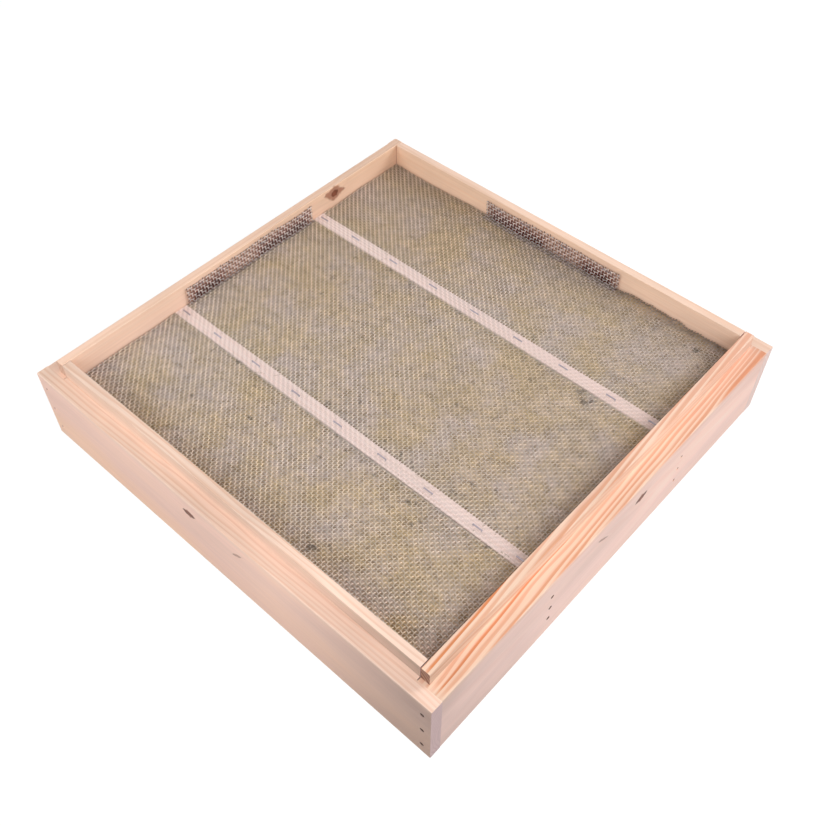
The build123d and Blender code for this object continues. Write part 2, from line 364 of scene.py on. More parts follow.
# Dark ends of the right board: partly its darker wood, partly painted shade at the near corner
BROWN_ENDS = ("#A67F6E", "#74503F")
TIMBERS = (
    Timber("front_board", False, (-172, 30), 3.1, 0.01, "#FCDCC8", "#E4B08C", 0.6, SMOOTH_ENDS,
           (0, -1, 0), "#FFD5C6", (
               Knot((-32, -250, 69.5), (7.8, 6, 3.6), 0.92, (0, -6, 0)),
               Knot((31, -250, 69), (8.5, 5, 1.6), 0.38, (0, -33, 0)),
           ), 0.0, 0.85, (60, 265, 0.68), riser=0.1,
           nails=((241, -250, 72), (241, -250, 43.5), (241, -250, 15))),
    Timber("back_board", False, (160, 20), 5.0, 0.01, "#F7D6C0", "#E6B591", 0.5, PALE_ENDS,
           (0, 1, 0), "#F4D4CA", vents=((-46, 34), (60, 17))),
    Timber("left_board", True, (-150, 35), 4.6, -0.01, "#F5D1B8", "#E6B088", 0.5, TAN_ENDS,
           (-1, 0, 0), "#F4D4CA", (
               Knot((-225, 124, 96), (4.5, 9, 6.5), 1.0, (-10, 0, 0), 2.0, 0.62),
           ), vents=((46, 34), (-60, 17))),
    Timber("right_board", True, (158, 45), 4.4, 0.045, "#F9D5BC", "#DC7F45", 1.0, BROWN_ENDS,
           (1, 0, 0), "#FFDDD5", (
               Knot((250, 30, 68), (5, 8, 4), 0.92, (6, 0, 0)),
               Knot((250, -27.5, 67), (4, 9.5, 1.6), 0.4, (-30, 0, 0)),
           ), 0.4, 0.15, (-70, -290, 0.45),
           nails=((250, -98, 61), (250, -98, 42.5), (250, -98, 24))),
    Timber("front_joist", False, (-60, 30), 4.2, 0.0, "#FFF0EA", "#F6D6C6", 0.4, SMOOTH_ENDS),
    Timber("back_joist", False, (140, 45), 4.2, 0.0, "#FFF0EA", "#F6D6C6", 0.4, SMOOTH_ENDS),
)


def blank_material(name):
    """A material with an empty node tree."""
    material = bpy.data.materials.new(name)
    material.use_nodes = True
    material.node_tree.nodes.clear()
    return material, material.node_tree


def knot_marks(tree, place, timber):
    """Knots: a dark heart in a leaf of resin-dark wood, with the rings pushed aside.

    Gives how far the rings are pushed, the hearts, the leaves and the distance from the nearest knot.
    """
    bend = core = rim = nearest = None
    uneven = put(tree, NOISE, {"Vector": place, "Scale": 1 / (5 * MM), "Detail": 2.0})
    uneven = put(tree, RANGE, [uneven, 0.25, 0.75, -0.35, 0.35])
    for knot in timber.knots:
        own = put(tree, "ShaderNodeMapping", {
            "Vector": place, "Location": [size * MM for size in knot.middle],
            "Rotation": [math.radians(turn) for turn in knot.tilt],
            "Scale": [size * MM for size in knot.reach]}, vector_type="TEXTURE")
        round_off = put(tree, VECTOR, [own], out="Value", operation="LENGTH")
        away = put(tree, PLUS, [round_off, uneven])
        leaf = put(tree, VECTOR, [own], operation="ABSOLUTE")
        shape = (0.62, 1 / knot.halo, 0.62) if timber.turned else (1 / knot.halo, 0.62, 0.62)
        leaf = put(tree, VECTOR, [leaf, shape], out="Value", operation="DOT_PRODUCT")
        leaf = put(tree, TIMES_PLUS, [uneven, 0.5, leaf])
        push = put(tree, RANGE, [round_off, 0.8, 3.2, 0.7 * timber.ring * MM, 0.0], **SOFT)
        heart = put(tree, RANGE, [away, 0.75 * knot.core, 1.05 * knot.core, knot.depth, 0.0], **SOFT)
        edge = put(tree, RANGE, [leaf, 0.75, 1.1, 0.85 * knot.depth, 0.0], **SOFT)
        if core is None:
            bend, core, rim, nearest = push, heart, edge, away
        else:
            bend = put(tree, PLUS, [bend, push])
            core = put(tree, LARGER, [core, heart])
            rim = put(tree, LARGER, [rim, edge])
            nearest = put(tree, MATH, [nearest, away], operation="MINIMUM")
    return bend, core, rim, nearest


def growth_rings(tree, grain, drawn, run, timber, look, bend):
    """Gives how much of a ring's dark late wood shows.

    The rings lie round the pith, with a slow wander and shorter ripples along the board.
    """
    wander = put(tree, NOISE, {"Vector": drawn, "Scale": 1 / (38 * MM), "Detail": 2.0})
    drift = put(tree, RANGE, [wander, 0, 1, -look.wander, look.wander], clamp=False)
    rippled = put(tree, VECTOR_TIMES, [grain, (0.16, 1, 1)])
    ripple = put(tree, NOISE, {"Vector": rippled, "Scale": 1 / (16 * MM), "Detail": 1.0})
    ripple = put(tree, RANGE, [ripple, 0, 1, -look.ripple, look.ripple], clamp=False)
    flat = put(tree, VECTOR_TIMES, [grain, (0, 1, 1)])
    reach = put(tree, VECTOR, [flat], out="Value", operation="LENGTH")
    reach = put(tree, TIMES_PLUS, [run, timber.cant, reach])
    uneven_years = put(tree, NOISE, {
        "W": reach, "Scale": 1 / (9 * MM), "Detail": 0.0}, noise_dimensions="1D")
    reach = put(tree, TIMES_PLUS, [uneven_years, 5 * MM, reach])
    reach = chain(tree, PLUS, reach, drift, ripple)
    if bend is not None:
        reach = put(tree, PLUS, [reach, bend])
    count = put(tree, DIVIDED, [reach, timber.ring * MM])
    phase = put(tree, MATH, [count], operation="FRACT")
    number = put(tree, MATH, [count], operation="FLOOR")
    strength = put(tree, "ShaderNodeTexWhiteNoise", {"W": number}, noise_dimensions="1D")
    strength = put(tree, RANGE, [strength, 0, 1, 0.45, 1.0])
    wider = put(tree, RANGE, [run, 60 * MM, 220 * MM, 0.3 * timber.widen, timber.widen])
    rise = put(tree, PLUS, [phase, wider])
    rise = put(tree, RANGE, [rise, 0.35, 0.8], **SOFT)
    fall = put(tree, RANGE, [phase, 0.88, 1.0, 1.0, 0.0], **SOFT)
    return chain(tree, TIMES, rise, fall, strength)


def paint_vent_shade(tree, colour, place, outer, timber, look):
    """Painted shade on the vent walls, round the vents and on the wall behind their strip."""
    spot = put(tree, SPLIT, [place], out=None).outputs
    strip_low, strip_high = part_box(timber.node.replace("board", "vent_strip"))
    half = (strip_high.y - strip_low.y if timber.turned else strip_high.x - strip_low.x) / 2
    walk = spot["Y" if timber.turned else "X"]
    beside = put(tree, ABSOLUTE, [walk])
    beside = put(tree, RANGE, [beside, half - 6 * MM, half, 1.0, 0.0])
    near = 0.0
    for middle, reach in timber.vents:
        off = put(tree, MINUS, [walk, middle * MM])
        off = put(tree, ABSOLUTE, [off])
        off = put(tree, RANGE, [off, reach * MM, (reach + 10) * MM, 1.0, 0.0])
        near = put(tree, LARGER, [near, off])
    # Painted shade round the vents, fading out above the ledge
    over = put(tree, RANGE, [spot["Z"], LEDGE_LEVEL, 96 * MM, 1.0, 0.1])
    near = put(tree, TIMES, [near, over])
    brown = put(tree, TIMES, [near, 0.6])
    brown = put(tree, MIX, {0: brown, 6: look.strip_shade, 7: look.vent_shade}, **COLOUR)
    # Behind the strip on the inner face, painted shadow of the strip: some all over, most near the
    # vents
    near = put(tree, RANGE, [near, 0.0, 1.0, 0.4, 0.92])
    over = put(tree, RANGE, [spot["Z"], strip_high.z - 5 * MM, strip_high.z - 1 * MM, 1.0, 0.0])
    inward = put(tree, MATH, [outer, -0.5], operation="LESS_THAN")
    # The inner face gets a tint: cooler on the left board, a little yellower on the back one, yellower
    # towards the far corner
    inner_tint = put(tree, MIX, {
        0: far_corner(tree, place), 7: (1, 0.98, 0.91, 1),
        6: (0.93, 0.955, 0.975, 1) if timber.turned else (1, 1, 0.97, 1)}, **COLOUR)
    colour = put(tree, MIX, {0: inward, 6: colour, 7: inner_tint}, **TINT)
    behind_strip = chain(tree, TIMES, beside, over, inward, near)
    colour = put(tree, MIX, {0: behind_strip, 6: colour, 7: brown}, **COLOUR)
    # Painted shade on the routed vents' walls
    through = put(tree, ABSOLUTE, [outer])
    through = put(tree, MATH, [through, 0.5], operation="LESS_THAN")
    above = put(tree, MATH, [spot["Z"], VENT_FLOOR], operation="GREATER_THAN")
    under = put(tree, MATH, [spot["Z"], VENT_ROOF], operation="LESS_THAN")
    vent_walls = chain(tree, TIMES, beside, above, under, through)
    return put(tree, MIX, {0: vent_walls, 6: colour, 7: look.vent_shade}, **COLOUR)


def planed_pine(timber, look):
    """Bare planed pine: growth rings round the pith, drawn out along the grain, with fine streaks.

    A face along the rings shows them as broad soft bands, an edge as narrow stripes with a sharp dark
    side, and an end as arcs on duller wood. The sheen is low and a little streaky.
    """
    material, tree = blank_material(f"planed_pine_{timber.node}")
    place = put(tree, "ShaderNodeTexCoord", out="Object")
    across, up = (size * MM for size in timber.pith)
    grain = put(tree, "ShaderNodeMapping", {
        "Vector": place,
        "Rotation": (0, 0, -math.pi / 2 if timber.turned else 0),
        "Location": (0, across if timber.turned else -across, -up),
    })

    run = put(tree, SPLIT, [grain], out="X")
    drawn = put(tree, VECTOR_TIMES, [grain, (0.07, 1, 1)])
    bend, core, rim, nearest = knot_marks(tree, place, timber)
    late = growth_rings(tree, grain, drawn, run, timber, look, bend)

    # Streaks along the grain, drawn coarser than real fibres so that they show
    long_fibre = put(tree, VECTOR_TIMES, [grain, (0.012, 1, 1)])
    fibre = put(tree, NOISE, {"Vector": long_fibre, "Scale": 1 / look.fibre, "Detail": 2.0})
    broad = put(tree, NOISE, {"Vector": drawn, "Scale": 1 / (60 * MM), "Detail": 1.0})

    # Faces: rings show less on the upright ones
    facing = put(tree, "ShaderNodeNewGeometry", out="Normal")
    turn = put(tree, SPLIT, [facing], out=None).outputs
    level = put(tree, ABSOLUTE, [turn["Z"]])
    shown = put(tree, RANGE, [level, 0.2, 0.8, look.side_figure, 1.0])
    shown = chain(tree, TIMES, shown, timber.figure, late)
    if timber.turned:
        # The near end is pale from wear
        slope_light = put(tree, RANGE, [run, *WORN_END, 0.3, 1.0])
        shown = put(tree, TIMES, [shown, slope_light])
    colour = put(tree, MIX, {0: shown, 6: linear(timber.early), 7: linear(timber.late)}, **COLOUR)
    patch = put(tree, RANGE, [broad, 0.4, 0.75, 0.0, 0.4])
    colour = put(tree, MIX, {0: patch, 6: colour, 7: look.blush}, **COLOUR)
    spot = put(tree, SPLIT, [place], out=None).outputs
    outer = put(tree, VECTOR, [facing, timber.outward], out="Value", operation="DOT_PRODUCT")
    below_ledge = put(tree, MATH, [spot["Z"], LEDGE_LEVEL], operation="LESS_THAN")
    # Outer faces below the ledge take a pinker tint: a painted tint that stands for the different light
    # on upright faces
    pink = put(tree, RANGE, [broad, 0.3, 0.65, 0.9, 0.6])
    pink = put(tree, RANGE, [outer, 0.3, 0.9, 0.0, pink])
    # Less of the tint near the ledge's edge: a painted highlight along the arris
    arris = put(tree, RANGE, [spot["Z"], LEDGE_LEVEL - LIT_ARRIS, LEDGE_LEVEL, 1.0, 0.3])
    pink = chain(tree, TIMES, pink, below_ledge, arris)
    smudged = put(tree, VECTOR, [grain, (0.22, 1, 1), (0.06, 0.11, 0.03)], operation="MULTIPLY_ADD")
    smudges = put(tree, NOISE, {
        "Vector": smudged, "Scale": 1 / (42 * MM), "Detail": 4.0}, out=None).outputs
    # The outer faces are yellower low down, in long clouds
    low_down = put(tree, RANGE, [spot["Z"], 0.0, LEDGE_LEVEL, 0.16, -0.08])
    cloud = put(tree, SPLIT, [smudges[1]], out="X")
    cloud = put(tree, PLUS, [cloud, low_down])
    cloud = put(tree, RANGE, [cloud, 0.42, 0.72, 0.0, timber.tan])
    tinted = put(tree, MIX, {0: cloud, 6: linear(timber.tinted), 7: look.tan}, **COLOUR)
    colour = put(tree, MIX, {0: pink, 6: colour, 7: tinted}, **COLOUR)
    smudge = put(tree, RANGE, [smudges[0], 0.3, 0.7, 0.88, 1.12])
    # Painted shade: the outer face darkens towards the near corner, and the lip's outer side more
    if timber.corner_shade:
        start, stop, depth = timber.corner_shade
        corner_shade = put(tree, RANGE, [run, start * MM, stop * MM, 0.0, depth], **SOFT)
        riser = put(tree, RANGE, [below_ledge, 0.0, 1.0, timber.riser, 0.0])
        corner_shade = put(tree, PLUS, [corner_shade, riser])
        outside = put(tree, RANGE, [outer, 0.3, 0.9, 0.0, 0.75])
        corner_shade = put(tree, TIMES, [corner_shade, outside])
        smudge = put(tree, MINUS, [smudge, corner_shade])
    streak = put(tree, RANGE, [fibre, 0.25, 0.75, 0.93, 1.04])
    streak = put(tree, TIMES, [streak, smudge])
    colour = put(tree, MIX, {0: 1.0, 6: colour, 7: streak}, **TINT)

    # Sawn ends: duller, with the rings as arcs and pores drawn coarse enough to show
    along = put(tree, ABSOLUTE, [turn["Y" if timber.turned else "X"]])
    end = put(tree, RANGE, [along, 0.7, 0.9])
    pores = put(tree, NOISE, {"Vector": grain, "Scale": 1 / (0.8 * MM), "Detail": 3.0})
    arcs = put(tree, TIMES_PLUS, [pores, 0.5, late])
    arcs = put(tree, RANGE, [arcs, 0.1, 1.0])
    cut = put(tree, MIX, {0: arcs, 6: linear(timber.ends[0]), 7: linear(timber.ends[1])}, **COLOUR)
    colour = put(tree, MIX, {0: end, 6: colour, 7: cut}, **COLOUR)
    if timber.vents:
        colour = paint_vent_shade(tree, colour, place, outer, timber, look)
    if core is not None:
        colour = put(tree, MIX, {0: rim, 6: colour, 7: look.knot_rim}, **COLOUR)
        hearts = put(tree, "ShaderNodeValToRGB", [nearest], stops=(
            (0.1, linear("#8A503C")), (0.5, linear("#6E3E2D")), (0.85, linear("#522A1F"))))
        colour = put(tree, MIX, {0: core, 6: colour, 7: hearts}, **COLOUR)
    for nail in timber.nails:
        middle = [size * MM for size in nail]
        off = put(tree, VECTOR, [place, middle], out="Value", operation="DISTANCE")
        rust = put(tree, RANGE, [off, *RUST_REACH, 0.85, 0.0])
        colour = put(tree, MIX, {0: rust, 6: colour, 7: linear(RUST)}, **COLOUR)

    relief = put(tree, TIMES_PLUS, [late, 0.6, fibre])
    bump = put(tree, "ShaderNodeBump", {"Height": relief, "Strength": 0.25, "Distance": 0.15 * MM})
    rough = put(tree, RANGE, [fibre, 0.2, 0.8, 0.5, 0.68])
    shader = put(tree, "ShaderNodeBsdfPrincipled", {
        "Base Color": colour, "Roughness": rough, "Specular IOR Level": 0.35, "Normal": bump})
    put(tree, "ShaderNodeOutputMaterial", {"Surface": shader}, out=None)
    return material


def sanded_plywood():
    """Sanded softwood plywood: peeled veneer with wide wandering figure and open grain.

    The open grain is drawn coarser than it is, so that it shows.
    """
    material, tree = blank_material("sanded_plywood")
    place = put(tree, "ShaderNodeTexCoord", out="Object")
    drawn = put(tree, VECTOR_TIMES, [place, (0.12, 1, 1)])
    warp = put(tree, NOISE, {"Vector": drawn, "Scale": 1 / (55 * MM), "Detail": 2.0})
    bands = put(tree, TIMES, [warp, 9.0])
    bands = put(tree, MATH, [bands], operation="FRACT")
    figure = put(tree, "ShaderNodeValToRGB", [bands], stops=(
        (0.0, linear("#DDBF93")), (0.6, linear("#D3B080")), (0.9, linear("#BE9260")),
        (1.0, linear("#DDBF93")),
    ))
    long_fibre = put(tree, VECTOR_TIMES, [place, (0.03, 1, 1)])
    fibre = put(tree, NOISE, {"Vector": long_fibre, "Scale": 1 / (0.8 * MM), "Detail": 2.0})
    streak = put(tree, RANGE, [fibre, 0.3, 0.7, 0.9, 1.04])
    colour = put(tree, MIX, {0: 1.0, 6: figure, 7: streak}, **TINT)
    bump = put(tree, "ShaderNodeBump", {"Height": fibre, "Strength": 0.3, "Distance": 0.15 * MM})
    shader = put(tree, "ShaderNodeBsdfPrincipled", {
        "Base Color": colour, "Roughness": 0.66, "Specular IOR Level": 0.3, "Normal": bump})
    put(tree, "ShaderNodeOutputMaterial", {"Surface": shader}, out=None)
    return material


def off_joist_line(tree, along):
    """Gives how far a spot lies from the nearer joist's middle line."""
    off = put(tree, ABSOLUTE, [along])
    off = put(tree, MINUS, [off, JOIST_LINE])
    return put(tree, ABSOLUTE, [off])


def dirt(tree, place):
    """Gives how bare the cloth is of dirt, 0 to 1, and how far it lies from a joist's line.

    The dirt is dark specks, most of them beside the joists and in a few spots.
    """
    off_joist = off_joist_line(tree, put(tree, SPLIT, [place], out="Y"))
    likely = put(tree, RANGE, [off_joist, 9 * MM, 26 * MM, 0.07, 0.0])
    for across, along, wide in DIRTY_SPOTS:
        off = put(tree, VECTOR_MINUS, [place, (across * MM, along * MM, 0)])
        off = put(tree, VECTOR_TIMES, [off, (1, 2.2, 0)])
        off = put(tree, VECTOR, [off], out="Value", operation="LENGTH")
        more = put(tree, RANGE, [off, 0.3 * wide * MM, wide * MM, 0.13, 0.0])
        likely = put(tree, PLUS, [likely, more])
    grit = put(tree, NOISE, {"Vector": place, "Scale": 1 / (10 * MM), "Detail": 1.5})
    grit = put(tree, PLUS, [grit, likely])
    clean = put(tree, RANGE, [grit, 0.7, 0.78, 1.0, 0.0])
    return clean, off_joist


def blotches(tree, place):
    """Gives the wide patches that the wool and the dust on the screen over it share."""
    return put(tree, NOISE, {"Vector": place, "Scale": 1 / (46 * MM), "Detail": 5.0, "Roughness": 0.7})


def far_corner(tree, place):
    """Gives how far a spot lies in the far left corner, 0 to 1, where all is browner."""
    spot = put(tree, SPLIT, [place], out=None).outputs
    apart = put(tree, MINUS, [spot["Y"], spot["X"]])
    return put(tree, RANGE, [apart, 60 * MM, 440 * MM])


def zinc_wire(name, colour, roughness, bright, dip_shade=None, dust=None, blush=None, slope_light=()):
    """Zinc-coated drawn wire: a soft sheen over pale oxide, dulled in small patches.

    Bright is the share of bare metal; the rest is matte and takes the light on one side. A strip's
    wire is darker along its foot and where it dips under, which is painted shade, and lighter on the
    bright slopes of its crowns, a painted highlight. Over the bays dust clings to the screen's wire in
    wide patches, over the joists it shows their blush as a painted reflection, and its cut edge at the
    back is brown, most at the right. The last argument is how much brighter one slope of the screen
    wire's crowns is painted than the other, at the left and at the right: painted light and shade.
    """
    material, tree = blank_material(name)
    place = put(tree, "ShaderNodeTexCoord", out="Object")
    spot = put(tree, SPLIT, [place], out=None).outputs
    if dust is not None:
        blotch = blotches(tree, place)
        share = put(tree, RANGE, [blotch, 0.38, 0.62, 0.85, 0.3])
        colour = put(tree, MIX, {0: share, 6: colour, 7: dust}, **COLOUR)
        colour = put(tree, MIX, {0: far_corner(tree, place), 6: colour, 7: WIRE_CORNER}, **TINT)
        clean, off_joist = dirt(tree, place)
        clean = put(tree, RANGE, [clean, 0.0, 1.0, 0.55, 1.0])
        colour = put(tree, MIX, {0: 1.0, 6: colour, 7: clean}, **TINT)
        browned = put(tree, RANGE, [spot["X"], 70 * MM, 95 * MM, 0.12, 0.6])
        edge = put(tree, RANGE, [spot["Y"], INNER_FACE - 13 * MM, INNER_FACE - 5 * MM, 0.0, browned])
        colour = put(tree, MIX, {0: edge, 6: colour, 7: linear(CUT_EDGE)}, **COLOUR)
    if dip_shade is not None:
        # Painted highlight on the crowns' bright slopes, painted shade where the wire dips and along
        # its foot
        crown = put(tree, "ShaderNodeAttribute", out="Fac", attribute_name=CROWN)
        crown = put(tree, RANGE, [crown, -1.1, 1.1], **SOFT)
        foot = put(tree, RANGE, [spot["Z"], JOIST_TOP + 4 * MM, JOIST_TOP + 7 * MM, 0.65, 1.0])
        crown = put(tree, TIMES, [crown, foot])
        colour = put(tree, MIX, {0: crown, 6: dip_shade, 7: colour}, **COLOUR)
    patch = put(tree, NOISE, {"Vector": place, "Scale": 1 / (9 * MM), "Detail": 3.0})
    dull = put(tree, RANGE, [patch, 0.35, 0.7, 1.0, 0.72])
    colour = put(tree, MIX, {0: 1.0, 6: colour, 7: dull}, **TINT)
    if dust is not None:
        # Over the joists the wire takes their blush: a painted reflection of the wood
        share = put(tree, RANGE, [off_joist, *BLUSHED, 1.0, 0.0])
        colour = put(tree, MIX, {0: share, 6: colour, 7: blush}, **COLOUR)
        # Painted light and shade: one slope of each crown lighter than the other, half as much over the
        # joists
        lit_slope = put(tree, RANGE, [spot["X"], 0.0, 150 * MM, *slope_light])
        free = put(tree, RANGE, [off_joist, *BLUSHED, 0.5, 1.0])
        lit_slope = put(tree, TIMES, [lit_slope, free])
        slope = put(tree, "ShaderNodeAttribute", out="Fac", attribute_name=SLOPE)
        lit_slope = put(tree, TIMES_PLUS, [slope, lit_slope, 1.0])
        colour = put(tree, MIX, {0: 1.0, 6: colour, 7: lit_slope}, **TINT)
    rough = put(tree, RANGE, [patch, 0.3, 0.7, roughness, roughness + 0.15])
    shader = put(tree, "ShaderNodeBsdfPrincipled", {
        "Base Color": colour, "Metallic": bright, "Roughness": rough})
    put(tree, "ShaderNodeOutputMaterial", {"Surface": shader}, out=None)
    return material


def darkened_steel():
    """Bare steel nail heads: dark grey-brown, dusty at the back and the left."""
    material, tree = blank_material("darkened_nail_steel")
    place = put(tree, "ShaderNodeTexCoord", out="Object")
    patch = put(tree, NOISE, {"Vector": place, "Scale": 1 / (1.2 * MM), "Detail": 2.0})
    tone = put(tree, "ShaderNodeValToRGB", [patch], stops=(
        (0.35, linear("#1C1412")), (0.7, linear("#30241F"))))
    run = put(tree, SPLIT, [place], out=None).outputs
    far_back = put(tree, RANGE, [run["Y"], 40 * MM, 60 * MM, 0.0, 0.93])
    far_left = put(tree, RANGE, [run["X"], -200 * MM, -220 * MM, 0.0, 0.85])
    dusty = put(tree, LARGER, [far_back, far_left])
    tone = put(tree, MIX, {0: dusty, 6: tone, 7: linear(NAIL_DUST)}, **COLOUR)
    shader = put(tree, "ShaderNodeBsdfPrincipled", {
        "Base Color": tone, "Metallic": 0.2, "Roughness": 0.85, "Specular IOR Level": 0.25})
    put(tree, "ShaderNodeOutputMaterial", {"Surface": shader}, out=None)
    return material


def loose_wool(look):
    """Matted wool fibre: dull olive and mauve-grey patches with browner hollows and edges.

    Lighter and darker clouds and specks of dirt break it up. Painted shade browns it along the right,
    front and back walls and draws thin dark lines for its folds.
    """
    material, tree = blank_material("matted_wool")
    place = put(tree, "ShaderNodeTexCoord", out="Object")
    blotch = blotches(tree, place)
    share = put(tree, RANGE, [blotch, 0.38, 0.62])
    colour = put(tree, MIX, {0: share, 6: look.olive, 7: look.mauve}, **COLOUR)
    cloud = put(tree, NOISE, {"Vector": place, "Scale": 1 / (24 * MM), "Detail": 2.0})
    cloud = put(tree, RANGE, [cloud, 0.3, 0.7, 0.84, 1.1])
    colour = put(tree, MIX, {0: 1.0, 6: colour, 7: cloud}, **TINT)
    # Painted shade along the right, front and back walls
    apart = put(tree, SPLIT, [place], out=None).outputs
    beside = put(tree, ABSOLUTE, [apart["Y"]])
    apart = put(tree, LARGER, [apart["X"], beside])
    brown = put(tree, RANGE, [apart, INNER_FACE - 24 * MM, INNER_FACE, 0.0, 0.55])
    colour = put(tree, MIX, {0: brown, 6: colour, 7: WOOL_EDGE}, **TINT)
    # Thin dark lines: painted shade of folds
    fold = put(tree, NOISE, {"Vector": place, "Scale": 1 / (60 * MM), "Detail": 2.0, "Distortion": 0.6})
    fold = put(tree, MINUS, [fold, 0.5])
    fold = put(tree, ABSOLUTE, [fold])
    fold = put(tree, RANGE, [fold, 0.0, 0.014, 0.55, 0.0])
    broken = put(tree, RANGE, [blotch, 0.5, 0.58])
    fold = put(tree, TIMES, [fold, broken])
    colour = put(tree, MIX, {0: fold, 6: colour, 7: look.umber}, **COLOUR)
    mat = put(tree, NOISE, {"Vector": place, "Scale": 1 / (6 * MM), "Detail": 4.0, "Distortion": 0.8})
    hollow = put(tree, RANGE, [mat, 0.52, 0.34, 0.0, 0.7])
    colour = put(tree, MIX, {0: hollow, 6: colour, 7: look.umber}, **COLOUR)
    clean, _ = dirt(tree, place)
    clean = put(tree, RANGE, [clean, 0.0, 1.0, 0.45, 1.0])
    colour = put(tree, MIX, {0: clean, 6: linear(DIRT), 7: colour}, **COLOUR)
    colour = put(tree, MIX, {0: far_corner(tree, place), 6: colour, 7: WOOL_CORNER}, **TINT)
    bump = put(tree, "ShaderNodeBump", {"Height": mat, "Strength": 0.8, "Distance": 1.5 * MM})
    shader = put(tree, "ShaderNodeBsdfPrincipled", {
        "Base Color": colour, "Roughness": 0.95, "Specular IOR Level": 0.1, "Sheen Weight": 0.15,
        "Normal": bump})
    put(tree, "ShaderNodeOutputMaterial", {"Surface": shader}, out=None)
    return material


def new_tree(name, inputs, output=("Geometry", "Geometry")):
    """A node tree with named inputs and one output. Gives the tree and its inputs' sockets by name."""
    tree = bpy.data.node_groups.new(name, "GeometryNodeTree")
    for label, kind in inputs.items():
        tree.interface.new_socket(label, in_out="INPUT", socket_type=f"NodeSocket{kind}")
    label, kind = output
    tree.interface.new_socket(label, in_out="OUTPUT", socket_type=f"NodeSocket{kind}")
    return tree, put(tree, "NodeGroupInput", out=None).outputs


def grow(name, tree, values, base=None):
    """Runs a node tree on a new object and keeps the result as a plain mesh."""
    mesh = base.data.copy() if base else bpy.data.meshes.new(name)
    piece = bpy.data.objects.new(name, mesh)
    bpy.context.scene.collection.objects.link(piece)
    modifier = piece.modifiers.new("Nodes", "NODES")
    modifier.node_group = tree
    for item in tree.interface.items_tree:
        if item.in_out == "INPUT" and item.name in values:
            modifier[item.identifier] = values[item.name]
    graph = bpy.context.evaluated_depsgraph_get()
    made = bpy.data.meshes.new_from_object(
        piece.evaluated_get(graph), preserve_all_data_layers=True, depsgraph=graph)
    if not made.polygons:
        raise RuntimeError(f"{name}: the node tree made no faces")
    piece.modifiers.remove(modifier)
    piece.data = made
    made.name = name
    return piece


def round_wire(tree, curve, thickness, sides):
    """Gives the mesh of a round wire or fibre along a curve, closed at its ends."""
    radius = put(tree, TIMES, [thickness, 0.5])
    profile = put(tree, "GeometryNodeCurvePrimitiveCircle", {"Resolution": sides, "Radius": radius})
    return put(tree, "GeometryNodeCurveToMesh", {
        "Curve": curve, "Profile Curve": profile, "Fill Caps": True})


def end_tree(tree, shape, finish):
    """Makes a node tree's shape real and smooth, gives it its finish and hands it out."""
    shape = put(tree, "GeometryNodeRealizeInstances", {"Geometry": shape})
    shape = put(tree, "GeometryNodeSetShadeSmooth", [shape])
    shape = put(tree, "GeometryNodeSetMaterial", {"Geometry": shape, "Material": finish})
    put(tree, "NodeGroupOutput", [shape], out=None)
    return tree


def lay_wires(tree, start, end, crossings, count, first, step):
    """Gives straight wires side by side, with a point at each crossing and one between."""
    run = put(tree, "GeometryNodeCurvePrimitiveLine", {"Start": start, "End": end})
    points = put(tree, TIMES_PLUS, [crossings, 2.0, 1.0])
    run = put(tree, "GeometryNodeResampleCurve", {"Curve": run, "Count": points}, mode="COUNT")
    rows = put(tree, "GeometryNodeMeshLine", {
        "Count": count, "Start Location": first, "Offset": step}, mode="OFFSET")
    wires = put(tree, "GeometryNodeInstanceOnPoints", {"Points": rows, "Instance": run})
    return put(tree, "GeometryNodeRealizeInstances", {"Geometry": wires})


def plain_weave(tree, pitch, axes):
    """Gives a wire's place, how far it goes over (1) or under (-1) those across it, and its slope.

    Axes are the one that the wire runs along and the one across it.
    """
    place = put(tree, SPLIT, [put(tree, "GeometryNodeInputPosition")], out=None).outputs
    turns = put(tree, DIVIDED, [math.pi, pitch])
    along, beside = (put(tree, TIMES, [place[axis], turns]) for axis in axes)
    slope = put(tree, MATH, [along], operation="COSINE")
    along, beside = (put(tree, MATH, [angle], operation="SINE") for angle in (along, beside))
    slope = put(tree, TIMES, [slope, beside])
    weave = put(tree, TIMES, [along, beside])
    return place, weave, slope


